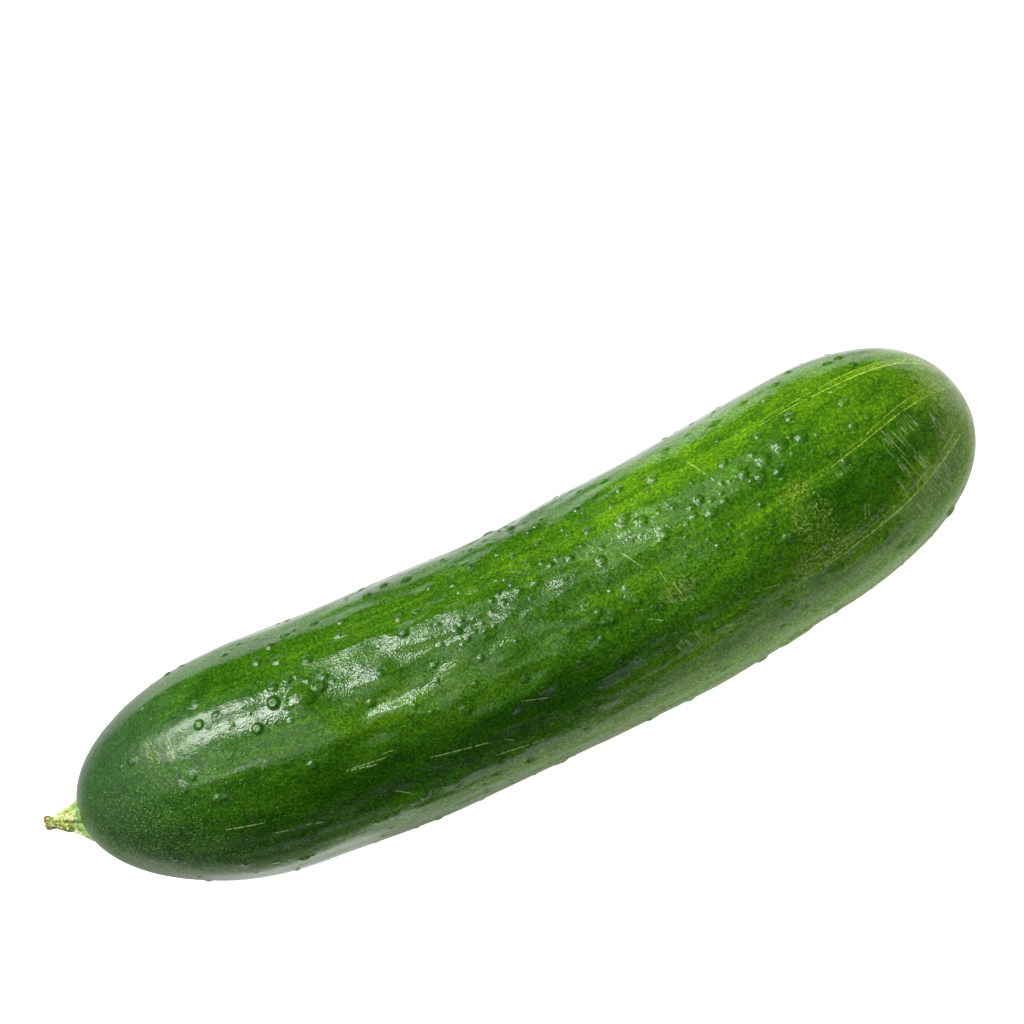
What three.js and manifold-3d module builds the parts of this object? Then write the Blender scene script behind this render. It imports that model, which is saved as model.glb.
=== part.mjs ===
// A fresh slicing cucumber with the stub of its stem, lying on its side.
// Millimetres, +Z up. The fruit runs along X with its stem end at -X, and both ends curve towards +Y.
// The origin is under the middle of the part, on the surface that it lies on.
//
// Angles round the fruit are counted from the top, and grow towards the outside of the curve, at -Y.
import * as THREE from "three";
import { mergeVertices } from "three/addons/utils/BufferGeometryUtils.js";
import Module from "manifold-3d";

const wasm = await Module();
wasm.setup();

// Fruit
const fruitLength = 180; // along its curved middle line, from pole to pole
const fruitRadius = 22;
const bendRadius = 455; // of the middle line
const stemCap = { length: 39, power: 1.85, rings: 12 }; // each end rounds off over its length
const blossomCap = { length: 75, power: 5.2, rings: 15 }; // a power of 2 is an ellipse, and more is blunter
const soleDepth = 0.3; // flattened away underneath, where the fruit lies
const soleHalfAngle = THREE.MathUtils.degToRad(16); // free of relief and warts, for the sole to be even
const soleFade = THREE.MathUtils.degToRad(14); // over which the relief comes back beside it

// Nine faint furrows run the whole length, one over each vein
const furrowCount = 9;
const firstFurrow = THREE.MathUtils.degToRad(15);
const furrowDepth = 0.3;
const furrowFadeIn = 30; // a furrow starts this far from a pole

// Slow swells that keep the body from being a plain tube: height, wavelength, turns round the body,
// phase along it and phase round it
const swells = [
  [0.08, 74, 1, 0.8, 0.8],
  [0.14, 47, 2, -0.8, 2.4],
  [0.1, 29, 3, 4.4, 4.4],
];

// Blossom scar: a shallow dimple at the far pole
const scarRadius = 3.2;
const scarDepth = 0.5;

// The warts that stand out most: distance from the stem pole, angle in degrees, radius
const largeWarts = [
  [29, -5, 0.95],
  [25, 18, 0.9],
  [22.5, 21, 0.9],
  [28, 33, 0.9],
  [42, -29, 1.0],
  [43.6, -10, 1.1],
  [43, -2, 1.2],
  [46.5, -11, 1.1],
  [51, -18, 1.0],
  [45, -36, 1.0],
  [48, -41, 1.1],
  [54, -41, 1.0],
  [65, -47, 1.1],
  [68.5, -50, 1.1],
  [69.3, -20, 1.0],
  [76.4, -31, 0.8],
  [59.2, 15, 0.8],
  [55, 75, 1.1],
  [61.2, 69, 1.2],
  [67, 70, 1.1],
  [75.5, 69, 1.2],
  [80, 81, 1.2],
  [94.7, -48, 1.1],
  [99, -38, 1.0],
  [106.5, 0, 1.4],
  [107, -35, 0.9],
  [113.4, -14, 1.4],
  [116.3, -8, 1.0],
  [115.6, -33, 0.9],
  [127, -3, 0.9],
  [127, -44, 1.0],
  [136.2, -3, 1.0],
  [138.4, 3, 1.1],
  [140.6, -4, 1.4],
  [144.5, -6, 1.5],
  [148.6, -4, 1.2],
  [149, -17, 1.1],
  [142.2, -17, 0.8],
  [144, -45, 1.1],
  [151, -45, 1.1],
  [157.3, 5, 0.9],
  [160.5, 5, 0.8],
  [151.4, 65, 1.2],
  [153.8, 78, 1.2],
  [156.2, 83, 1.1],
  [164.9, -33, 1.1],
  [164, -46, 1.2],
  [172, -3, 0.8],
];

// Smaller warts lie along a spiral that covers the skin evenly
const wartCount = 132;
const wartSeed = 41;
const wartMargin = 13; // clear of each pole
const wartRadius = [0.7, 1.2];
const wartStretch = 0.35; // the longest one is this much longer than wide
const wartShift = 2; // the furthest from its place on the spiral, along the fruit
const wartTurn = THREE.MathUtils.degToRad(10); // and round it
const wartDraw = 0.6; // how strongly they keep off the furrows, from 0 to 1

const wartHeight = 0.45; // of every wart, as a share of its radius
const wartRoot = 0.5; // how far its base is sunk, as a share of its radius
const wartSides = 5;

// Blisters: low wide bumps, each at a distance from the stem pole, an angle, a length, a width and a height
const blisters = [
  [47.7, 0, 5.6, 4.6, 0.75],
  [61, 3, 9, 4.4, 0.4],
  [75.5, -7, 25, 6.4, 0.5],
  [79, 7, 12, 4.2, 0.4],
  [92.5, 9, 9, 4.2, 0.4],
  [98, 21, 8, 4, 0.35],
  [66, -82, 8, 4.4, 0.5],
  [118, -118, 9, 4.6, 0.5],
  [131, 104, 8, 4.2, 0.45],
];
const blisterRoot = 0.8; // how far its base is sunk
const blisterSides = 10;

// Side outline of a wart or blister: shares of its half width and of its height
const domeFoot = 1.15;
const domeShoulder = [0.72, 0.72];

// Stem stub: its outline as distance out from the pole and radius, up to a blunt torn tip
const stemOutline = [
  [-3.4, 5.3],
  [-0.6, 3.6],
  [0.6, 2.75],
  [2, 2.15],
  [3.6, 1.65],
  [5, 1.1],
  [6, 1.25],
  [6.6, 0.8],
];
const stemOffset = 1.2; // its root is this far from the pole, towards -Y
const stemRidges = 5;
const stemRidgeHeight = 0.13; // as a share of the radius
const stemSides = 4 * stemRidges;
const stemLean = 0.9; // how far the tip leans back towards +Y
const stemCurl = 1.6; // 1 is a straight lean, and more bends later
const tornDepth = 0.2; // of the hollow in its torn tip
const stemGap = 0.3; // between stem and skin

// Where the fruit's middle is, so that the whole part is centred on the origin
const middle = new THREE.Vector3(3.3, -1.7, fruitRadius - soleDepth);

// Mesh fineness
const segmentsRound = furrowCount * 7;
const bodyRings = 9;
const mergeDistance = 1e-4;

// A repeatable source of random numbers from 0 to 1
function randomSource(seed) {
  let state = seed;
  return () => {
    state = (state + 0x6d2b79f5) | 0;
    let mixed = Math.imul(state ^ (state >>> 15), 1 | state);
    mixed = (mixed + Math.imul(mixed ^ (mixed >>> 7), 61 | mixed)) ^ mixed;
    return ((mixed ^ (mixed >>> 14)) >>> 0) / 4294967296;
  };
}

// Radius of the plain round body at a distance along the middle line from the stem pole
function bodyRadius(along) {
  const fromStem = Math.max(0, 1 - along / stemCap.length);
  const fromBlossom = Math.max(0, 1 - (fruitLength - along) / blossomCap.length);
  const stemShare = 1 - Math.pow(fromStem, stemCap.power);
  const blossomShare = 1 - Math.pow(fromBlossom, blossomCap.power);
  return fruitRadius * Math.sqrt(Math.max(0, stemShare * blossomShare));
}

// Angle between a direction round the fruit and straight down
function fromSole(angle) {
  return Math.abs(THREE.MathUtils.euclideanModulo(angle, 2 * Math.PI) - Math.PI);
}

// Height of the relief over the round body: furrows and swells, fading out at the poles and over the sole
function relief(along, angle) {
  const toPole = Math.min(along, fruitLength - along);
  const atSole = THREE.MathUtils.smoothstep(fromSole(angle), soleHalfAngle, soleHalfAngle + soleFade);
  const fade = THREE.MathUtils.smoothstep(toPole, 0, furrowFadeIn) * atSole;
  const furrow = -furrowDepth * Math.pow(0.5 + 0.5 * Math.cos(furrowCount * (angle - firstFurrow)), 3);
  const swell = swells.reduce((sum, [height, wavelength, turns, phaseAlong, phaseRound]) => {
    const wave = Math.sin((2 * Math.PI * along) / wavelength + phaseAlong);
    return sum + height * wave * Math.cos(turns * angle + phaseRound);
  }, 0);
  return fade * (furrow + swell);
}

// A place on the middle line at a distance along it, with the ways along it and outwards there
function station(along) {
  const turn = (along - fruitLength / 2) / bendRadius;
  return {
    place: new THREE.Vector3(bendRadius * Math.sin(turn), bendRadius * (1 - Math.cos(turn)), 0).add(middle),
    tangent: new THREE.Vector3(Math.cos(turn), Math.sin(turn), 0),
    outwards: new THREE.Vector3(Math.sin(turn), -Math.cos(turn), 0),
  };
}

// A point at some radius and angle round the middle line
function aroundMiddle(along, angle, radius) {
  const { place, outwards } = station(along);
  return place
    .addScaledVector(outwards, radius * Math.sin(angle))
    .add(new THREE.Vector3(0, 0, radius * Math.cos(angle)));
}

function skinPoint(along, angle) {
  const radius = bodyRadius(along);
  const pucker = scarDepth * Math.exp(-Math.pow(radius / scarRadius, 2));
  const sunk = along > fruitLength / 2 ? pucker : 0;
  return aroundMiddle(along - sunk, angle, Math.max(0, radius + (radius > 0 ? relief(along, angle) : 0)));
}

// The skin's outward direction, from its slopes along and round
function skinNormal(along, angle) {
  const step = 0.05;
  const lengthwise = skinPoint(along + step, angle).sub(skinPoint(along - step, angle));
  const crosswise = skinPoint(along, angle + step).sub(skinPoint(along, angle - step));
  return crosswise.cross(lengthwise).normalize();
}

// A closed solid for manifold-3d from a three.js geometry
function solidFrom(geometry) {
  const bare = geometry.clone();
  bare.deleteAttribute("normal");
  bare.deleteAttribute("uv");
  const merged = mergeVertices(bare, mergeDistance);
  return new wasm.Manifold(
    new wasm.Mesh({
      numProp: 3,
      vertProperties: new Float32Array(merged.attributes.position.array),
      triVerts: new Uint32Array(merged.index.array),
    }),
  );
}

function geometryFrom(solid) {
  const { vertProperties, triVerts } = solid.getMesh();
  const geometry = new THREE.BufferGeometry();
  geometry.setAttribute("position", new THREE.BufferAttribute(vertProperties, 3));
  geometry.setIndex(new THREE.BufferAttribute(triVerts, 1));
  geometry.computeVertexNormals();
  return geometry;
}

// Moves each vertex of a lathe to a place worked out from its height and angle.
// The lathe's outline runs up its Y axis, and its angle is counted from +Z towards +X.
function reshape(lathe, place) {
  const positions = lathe.attributes.position;
  for (let i = 0; i < positions.count; i++) {
    const angle = Math.atan2(positions.getX(i), positions.getZ(i));
    const radius = Math.hypot(positions.getX(i), positions.getZ(i));
    positions.setXYZ(i, ...place(positions.getY(i), angle, radius).toArray());
  }
  return lathe;
}

// Distances of an end's rings from its pole, close together where it rounds off
function capPlaces({ length, rings }) {
  return Array.from({ length: rings + 1 }, (_, i) => length * (1 - Math.cos((Math.PI / 2) * (i / rings))));
}

// Distances of all the rings along the fruit
function ringPlaces() {
  const bodyLength = fruitLength - stemCap.length - blossomCap.length;
  const step = bodyLength / bodyRings;
  const between = Array.from({ length: bodyRings - 1 }, (_, i) => stemCap.length + step * (i + 1));
  const blossomEnd = capPlaces(blossomCap).map((place) => fruitLength - place);
  return [...capPlaces(stemCap), ...between, ...blossomEnd.reverse()];
}

// The bare fruit, raised evenly by lift
function fruitBody(lift) {
  const outline = ringPlaces().map((along) => new THREE.Vector2(bodyRadius(along), along));
  outline[0].x = 0;
  outline[outline.length - 1].x = 0;
  const lathe = new THREE.LatheGeometry(outline, segmentsRound);
  reshape(lathe, (along, angle) => skinPoint(along, angle));
  if (lift === 0) return solidFrom(lathe);
  lathe.deleteAttribute("normal");
  lathe.deleteAttribute("uv");
  const skin = mergeVertices(lathe, mergeDistance);
  skin.computeVertexNormals();
  const { position, normal } = skin.attributes;
  for (let i = 0; i < position.count; i++) {
    const moved = new THREE.Vector3().fromBufferAttribute(position, i);
    moved.addScaledVector(new THREE.Vector3().fromBufferAttribute(normal, i), lift);
    position.setXYZ(i, ...moved.toArray());
  }
  return solidFrom(skin);
}

// A low dome that stands out of the skin, with its length along the fruit
function dome({ along, angle, length, width, height, root, sides }) {
  const [shoulderRadius, shoulderRise] = domeShoulder;
  const outline = [
    new THREE.Vector2(0, -root),
    new THREE.Vector2(domeFoot, -root),
    new THREE.Vector2(shoulderRadius, shoulderRise * height),
    new THREE.Vector2(0, height),
  ];
  const lathe = new THREE.LatheGeometry(outline, sides);
  const foot = skinPoint(along, angle);
  const up = skinNormal(along, angle);
  const across = new THREE.Vector3().crossVectors(up, station(along).tangent).normalize();
  const lengthwise = new THREE.Vector3().crossVectors(across, up);
  return solidFrom(
    reshape(lathe, (rise, turn, radius) =>
      foot
        .clone()
        .addScaledVector(up, rise)
        .addScaledVector(lengthwise, radius * Math.cos(turn) * (length / 2))
        .addScaledVector(across, radius * Math.sin(turn) * (width / 2)),
    ),
  );
}

function wart(along, angle, radius, stretch) {
  return dome({
    along,
    angle,
    length: 2 * radius * stretch,
    width: 2 * radius,
    height: wartHeight * radius,
    root: wartRoot * radius,
    sides: wartSides,
  });
}

// Each is shifted a little from the spiral, and drawn off the furrows
function smallWarts() {
  const random = randomSource(wartSeed);
  const around = () => 2 * random() - 1;
  const goldenAngle = Math.PI * (3 - Math.sqrt(5));
  const step = (fruitLength - 2 * wartMargin) / wartCount;
  const made = [];
  for (let i = 0; i < wartCount; i++) {
    const along = wartMargin + step * (i + 0.5) + wartShift * around();
    const spiral = goldenAngle * i + wartTurn * around();
    const angle = spiral + (wartDraw / furrowCount) * Math.sin(furrowCount * (spiral - firstFurrow));
    const radius = THREE.MathUtils.lerp(wartRadius[0], wartRadius[1], random() ** 2);
    const stretch = 1 + wartStretch * random();
    if (fromSole(angle) < soleHalfAngle) continue;
    made.push(wart(along, angle, radius, stretch));
  }
  return made;
}

function makeLargeWarts() {
  return largeWarts.map(([along, degrees, radius]) =>
    wart(along, THREE.MathUtils.degToRad(degrees), radius, 1),
  );
}

function makeBlisters() {
  return blisters.map(([along, degrees, length, width, height]) => {
    const angle = THREE.MathUtils.degToRad(degrees);
    return dome({ along, angle, length, width, height, root: blisterRoot, sides: blisterSides });
  });
}

// What lies under the surface that the fruit rests on
function ground() {
  const slab = new THREE.BoxGeometry(2 * fruitLength, 2 * fruitLength, fruitRadius);
  slab.translate(0, 0, -fruitRadius / 2);
  return solidFrom(slab);
}

function makeFruit() {
  const lumps = wasm.Manifold.union([...smallWarts(), ...makeLargeWarts(), ...makeBlisters()]);
  const solid = fruitBody(0).add(lumps).subtract(ground());
  return geometryFrom(solid);
}

// The stem grows out of the stem pole, ridged, flared where it meets the skin, and leaning to one side
function makeStem() {
  const outline = stemOutline.map(([rise, radius]) => new THREE.Vector2(radius, rise));
  const root = stemOutline[0][0];
  const tip = stemOutline[stemOutline.length - 1][0];
  outline.unshift(new THREE.Vector2(0, root));
  outline.push(new THREE.Vector2(0, tip - tornDepth));
  const lathe = new THREE.LatheGeometry(outline, stemSides);
  const { place, tangent } = station(0);
  const up = new THREE.Vector3(0, 0, 1);
  const side = new THREE.Vector3().crossVectors(tangent, up).negate();
  reshape(lathe, (rise, angle, radius) => {
    const ridged = radius * (1 + stemRidgeHeight * Math.cos(stemRidges * angle));
    const lean = stemLean * Math.pow(Math.max(0, rise) / tip, stemCurl) - stemOffset;
    return place
      .clone()
      .addScaledVector(tangent, -rise)
      .addScaledVector(side, ridged * Math.sin(angle) + lean)
      .addScaledVector(up, ridged * Math.cos(angle));
  });
  return geometryFrom(solidFrom(lathe).subtract(fruitBody(stemGap)));
}

const skinMaterial = new THREE.MeshStandardMaterial({ color: 0x3c7a14, roughness: 0.35, metalness: 0 });
const stemMaterial = new THREE.MeshStandardMaterial({ color: 0xa9bd5c, roughness: 0.6, metalness: 0 });

const fruit = new THREE.Mesh(makeFruit(), skinMaterial);
fruit.name = "fruit";

const stem = new THREE.Mesh(makeStem(), stemMaterial);
stem.name = "stem_stub";

const cucumber = new THREE.Group();
cucumber.name = "cucumber";
cucumber.add(fruit, stem);

export default cucumber;
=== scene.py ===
import math

import bmesh
import bpy
import numpy as np
from mathutils import Matrix, Vector, noise


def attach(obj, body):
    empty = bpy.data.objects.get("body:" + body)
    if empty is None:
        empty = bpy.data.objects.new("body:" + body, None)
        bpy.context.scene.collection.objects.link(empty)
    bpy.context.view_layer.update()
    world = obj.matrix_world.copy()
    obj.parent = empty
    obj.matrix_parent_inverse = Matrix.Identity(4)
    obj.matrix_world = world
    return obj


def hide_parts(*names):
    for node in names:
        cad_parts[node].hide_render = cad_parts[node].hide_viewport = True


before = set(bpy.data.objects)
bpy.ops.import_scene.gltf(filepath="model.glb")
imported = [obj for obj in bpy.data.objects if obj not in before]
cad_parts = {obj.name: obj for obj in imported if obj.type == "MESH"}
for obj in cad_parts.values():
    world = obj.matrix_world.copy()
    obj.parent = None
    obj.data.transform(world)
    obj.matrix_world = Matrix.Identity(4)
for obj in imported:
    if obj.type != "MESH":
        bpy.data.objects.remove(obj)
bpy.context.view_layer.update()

mm = 0.001
print("frame loaded, nodes:", sorted(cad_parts))

# A cucumber lying on its side: the fruit and the stub of its stem.
# Lengths are in millimetres and angles in degrees, until the vertices are placed.
# Every spot on the skin has a distance from the stem pole along the curved middle line, and an angle
# round the fruit, counted from the top and growing towards the outside of the curve, at -Y.


# ---- shape shared by both pieces
body = {
    "length": 180.0,
    "radius": 22.0,
    "bendRadius": 455.0,
    "stemCap": (39.0, 1.85),  # each end rounds off over a length, and a power of 2 would be an ellipse
    "blossomCap": (75.0, 5.2),
    "middle": (3.3, -1.7, 21.7),
    "profileSteps": 6000,
}


def bodyRadius(along):
    stemLength, stemPower = body["stemCap"]
    blossomLength, blossomPower = body["blossomCap"]
    fromStem = np.clip(1 - along / stemLength, 0, 1)
    fromBlossom = np.clip(1 - (body["length"] - along) / blossomLength, 0, 1)
    share = (1 - fromStem ** stemPower) * (1 - fromBlossom ** blossomPower)
    return body["radius"] * np.sqrt(np.clip(share, 0, 1))


def makeProfile():
    # the outline from pole to pole, with its distance over the skin and its outward direction
    turn = np.linspace(0, math.pi, body["profileSteps"])
    along = body["length"] * (1 - np.cos(turn)) / 2
    radius = bodyRadius(along)
    over = np.concatenate([[0], np.cumsum(np.hypot(np.diff(along), np.diff(radius)))])
    slopeAlong = np.gradient(along, over)
    slopeOut = np.gradient(radius, over)
    size = np.hypot(slopeAlong, slopeOut)
    return {
        "over": over,
        "along": along,
        "radius": radius,
        "normalAlong": -slopeOut / size,
        "normalOut": slopeAlong / size,
    }


profile = makeProfile()
skinLength = profile["over"][-1]


def fromProfile(name, over):
    return np.interp(over, profile["over"], profile[name])


def bent(along, side, up):
    # from straight coordinates to the curved fruit, in metres
    turn = (along - body["length"] / 2) / body["bendRadius"]
    x0, y0, z0 = body["middle"]
    x = x0 + body["bendRadius"] * np.sin(turn) + side * np.sin(turn)
    y = y0 + body["bendRadius"] * (1 - np.cos(turn)) - side * np.cos(turn)
    return np.stack([x, y, z0 + up], axis=1) * mm


def fade(value, low, high):
    share = np.clip((value - low) / (high - low), 0, 1)
    return share * share * (3 - 2 * share)


def zone(value, start, full, last, end):
    # 0 up to the start, 1 between the full and the last, and 0 again from the end
    return fade(value, start, full) * (1 - fade(value, last, end))


def turnFrom(angle, degrees):
    # how many degrees round the fruit it is to a line along it
    return np.degrees(np.abs(np.mod(angle - math.radians(degrees) + math.pi, 2 * math.pi) - math.pi))


def around(angle, along, length, turns):
    # points whose noise is stretched over a length and repeats round the fruit
    return np.stack([along / length, turns * np.sin(angle), turns * np.cos(angle)], axis=1)


def nearVein(angle):
    # 1 on a vein and 0 halfway to the next
    return 0.5 + 0.5 * np.cos(ribs["count"] * (angle - math.radians(ribs["first"])))


def noiseAt(points, octaves=1):
    if octaves == 1:
        return np.array([noise.noise(Vector(p)) for p in points])
    return np.array([noise.fractal(Vector(p), 1.0, 2.0, octaves) for p in points])


def randomSource(seed):
    # a repeatable source of numbers from 0 to 1
    state = [seed]
    full = 0xFFFFFFFF

    def draw():
        state[0] = (state[0] + 0x6D2B79F5) & full
        s = state[0]
        mixed = ((s ^ (s >> 15)) * (1 | s)) & full
        mixed = ((mixed + (mixed ^ (mixed >> 7)) * (61 | mixed)) & full) ^ mixed
        return (mixed ^ (mixed >> 14)) / 4294967296

    return draw


# ---- relief of the skin
ribs = {"count": 9, "first": 15.0, "depth": 0.3, "fadeIn": 30.0}
swells = [  # height, wavelength, turns round the body, phase along it, phase round it
    (0.08, 74, 1, 0.8, 0.8),
    (0.14, 47, 2, -0.8, 2.4),
    (0.1, 29, 3, 4.4, 4.4),
]
sole = {"halfAngle": 16.0, "fade": 14.0, "lift": 0.02}
scar = {"radius": 3.2, "depth": 0.5}

warts = {
    "large": [  # distance from the stem pole, angle, radius
        (29, -5, 0.95), (25, 18, 0.9), (22.5, 21, 0.9), (28, 33, 0.9), (42, -29, 1.0),
        (43.6, -10, 1.1), (43, -2, 1.2), (46.5, -11, 1.1), (51, -18, 1.0), (45, -36, 1.0),
        (48, -41, 1.1), (54, -41, 1.0), (65, -47, 1.1), (68.5, -50, 1.1), (69.3, -20, 1.0),
        (76.4, -31, 0.8), (59.2, 15, 0.8), (55, 75, 1.1), (61.2, 69, 1.2), (67, 70, 1.1),
        (75.5, 69, 1.2), (80, 81, 1.2), (94.7, -48, 1.1), (99, -38, 1.0), (106.5, 0, 1.0),
        (107, -35, 0.9), (113.4, -14, 1.4), (116.3, -8, 1.0), (115.6, -33, 0.9), (127, -3, 0.9),
        (127, -44, 1.0), (136.2, -3, 1.0), (138.4, 3, 1.1), (140.6, -4, 1.4), (144.5, -6, 1.5),
        (148.6, -4, 1.2), (149, -17, 1.1), (142.2, -17, 0.8), (144, -45, 1.1), (151, -45, 1.1),
        (157.3, 5, 0.9), (160.5, 5, 0.8), (151.4, 65, 1.2), (153.8, 78, 1.2), (156.2, 83, 1.1),
        (164.9, -33, 1.1), (164, -46, 1.2), (172, -3, 0.8),
    ],
    "smallCount": 132,
    "smallSeed": 41,
    "smallRadius": (0.7, 1.2),
    "margin": 13.0,
    "stretch": 0.35,
    "shift": 2.0,  # how far and how many degrees they may leave their spiral
    "turn": 10.0,
    "draw": 0.6,  # how strongly they leave the veins
    "fineCount": 540,
    "fineSeed": 7,
    "fineRadius": (0.3, 0.62),
    "fineGap": 1.3,
    "fineReach": (0.05, 0.95),  # shares of the length
    "fineCrowd": (16.0, 2.6),  # length and turns of the noise that gathers them
    "fineBusy": (80, 108, 125, 150),  # where they crowd over the top
}

blisters = [  # distance from the stem pole, angle, length, width, height
    (47.7, 1, 5.6, 4.6, 0.75),
    (61, 3, 9, 4.4, 0.4),
    (75.5, -7, 25, 6.4, 0.75),
    (79, 7, 12, 4.2, 0.4),
    (92.5, 9, 9, 4.2, 0.4),
    (98, 21, 8, 4, 0.35),
    (66, -82, 8, 4.4, 0.5),
    (118, -118, 9, 4.6, 0.5),
    (131, 104, 8, 4.2, 0.45),
]


def offSole(angle):
    # 0 over the flat sole, 1 everywhere else
    below = np.abs(np.mod(angle, 2 * math.pi) - math.pi)
    return fade(np.degrees(below), sole["halfAngle"], sole["halfAngle"] + sole["fade"])


def smallWarts():
    draw = randomSource(warts["smallSeed"])
    eitherWay = lambda: 2 * draw() - 1
    golden = math.pi * (3 - math.sqrt(5))
    step = (body["length"] - 2 * warts["margin"]) / warts["smallCount"]
    first = math.radians(ribs["first"])
    low, high = warts["smallRadius"]
    made = []
    for i in range(warts["smallCount"]):
        along = warts["margin"] + step * (i + 0.5) + warts["shift"] * eitherWay()
        spiral = golden * i + math.radians(warts["turn"]) * eitherWay()
        angle = spiral + (warts["draw"] / ribs["count"]) * math.sin(ribs["count"] * (spiral - first))
        radius = low + (high - low) * draw() ** 2
        stretch = 1 + warts["stretch"] * draw()
        if abs(angle % (2 * math.pi) - math.pi) < math.radians(sole["halfAngle"]):
            continue
        made.append((along, angle, radius, stretch))
    return made


def fineWarts():
    # the smallest ones crowd between the veins, and leave the stem end smooth
    draw = randomSource(warts["fineSeed"])
    low, high = warts["fineRadius"]
    first, last = warts["fineReach"]
    length, turns = warts["fineCrowd"]
    made = []
    while len(made) < warts["fineCount"]:
        along = body["length"] * (first + (last - first) * draw())
        angle = 2 * math.pi * draw()
        crowd = noise.noise(Vector((along / length, turns * math.sin(angle), turns * math.cos(angle))))
        free = 1 - 0.75 * float(nearVein(angle))
        busy = float(zone(along, *warts["fineBusy"])) * max(0.0, math.cos(angle - 0.15))
        wanted = (0.3 + 1.3 * crowd) * free * (0.15 + 0.5 * float(fade(along, 20, 60)))
        wanted += 0.8 * busy * (0.5 + crowd)
        gap = [math.hypot(along - a, (angle - b) * body["radius"]) for a, b, _, _ in made]
        if draw() < wanted and min(gap, default=9) > warts["fineGap"]:
            made.append((along, angle, low + (high - low) * draw() ** 1.5, 1 + 0.5 * draw()))
    return made


wartList = [(a, math.radians(d), r, 1.0) for a, d, r in warts["large"]] + smallWarts()
fineList = fineWarts()
print("warts:", len(wartList), "and", len(fineList), "fine ones")


# ---- fruit
fruitMesh = {
    "rings": 250,
    "sides": 190,
    "reach": ((1.5, 0.45), (1.2, 0.2)),  # each pass refines within this many radii, and this far past them
}
skinRelief = {
    "ripple": (0.2, 3.4, 60.0),  # height, turns, length of the lengthwise ripples at the stem end
    "rippleScale": 1.5,
    "rippleZone": (6, 20, 45, 105),
    "wrinkle": (0.09, 6.0, 2.3),  # height, length and width of the wrinkles on the upper side
    "wrinkleZone": (45, 62, 112, 135),
    "wrinkleElsewhere": 0.18,
    "wrinkleRound": 0.09,  # how blunt a crease is
    "wave": (0.16, 9.0),  # height and length
    "grain": (0.042, 1.6),
}
wartShape = {  # all in its own radii
    "height": 0.3,
    "flat": (0.05, 0.34),  # its flat top, of a small wart and of a large one
    "foot": (1.25, 1.12),
    "flatter": 0.22,  # added to the flat top near the stem end
    # the wart share also sets a painted ring of shade round its foot
    "shadeAndGloss": (0.7, 1.3),  # where the dark green round it fades
}
blisterShape = {"height": 0.65, "edge": (0.62, 1.04)}

# Furrows and ridges of the stem end: angle, half width in degrees, height, start and end
stemRidges = [
    (28, 4, -0.16, 12, 60), (33, 4, 0.08, 20, 60), (-14.5, 3, -0.08, 14, 70), (-36, 4, 0.14, 14, 110),
    (42, 4, -0.14, 14, 60), (52, 4, 0.12, 20, 90), (72, 5, 0.14, 20, 120), (62, 3, -0.14, 20, 120),
]

greenLook = {  # from 0, the deepest green, to 1, the yellowest
    "base": 0.42,
    "rises": [(0.12, 30, 60), (0.13, 95, 125)],  # by an amount, from one distance to another
    "cloud": 0.22,
    "cloudShape": (40, 1.7),  # length, turns
}

# Broad patches of lighter or darker green: distance from the stem pole, angle, half length, half width in
# degrees, amount
patches = [
    (66, 52, 62, 19, -0.5), (155, 32, 20, 15, -0.28), (56, -25, 20, 7, 0.12), (98, -27, 30, 13, 0.06),
    (166, -4, 16, 18, 0.16), (146, -23, 34, 5, 0.06), (40, 31, 26, 9, -0.34), (90, 24, 30, 10, 0.05),
    (165, 70, 30, 16, 0.35), (118, 62, 40, 16, 0.12), (24, 59, 7, 6, 0.25), (100, -7, 14, 6, 0.12),
    (140, 17, 18, 6, 0.1), (25, -27, 16, 8, -0.06), (30, 12, 20, 12, -0.1), (150, -42, 40, 15, 0.25),
    (118, -6, 24, 16, 0.1), (110, -18, 26, 8, 0.1), (30, 68, 26, 14, -0.3), (168, 52, 14, 24, 0.45),
]


def straightPoint(along, angle):
    radius = float(bodyRadius(np.array(along)))
    return np.array([along, radius * math.sin(angle), radius * math.cos(angle)])


def spotDistance(place, order, spot):
    # indices of the vertices near a wart, and their distances in its own radii
    along, angle, radius, stretch = spot
    reach = 3 * radius * stretch + 1
    low, high = np.searchsorted(place[order, 0], (along - reach, along + reach))
    near = order[low:high]
    away = place[near] - straightPoint(along, angle)
    away[:, 0] /= stretch
    return near, np.linalg.norm(away, axis=1) / radius


def straightPlace(bm):
    # each vertex's distance over the skin, its angle, and its place on the plain straight body
    co = np.array([v.co[:] for v in bm.verts])
    angle = np.arctan2(co[:, 1], co[:, 2])
    over = np.clip(co[:, 0], 0, skinLength)
    along = fromProfile("along", over)
    radius = fromProfile("radius", over)
    return over, angle, np.stack([along, radius * np.sin(angle), radius * np.cos(angle)], axis=1)


def refineNear(bm, spots, radii, margin):
    place = straightPlace(bm)[2]
    order = np.argsort(place[:, 0])
    close = np.zeros(len(place), bool)
    for spot in spots:
        near, away = spotDistance(place, order, spot)
        close[near[away < radii + margin / spot[2]]] = True
    bm.verts.index_update()
    picked = [e for e in bm.edges if close[e.verts[0].index] and close[e.verts[1].index]]
    bmesh.ops.subdivide_edges(bm, edges=picked, cuts=1, use_grid_fill=True)


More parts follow.
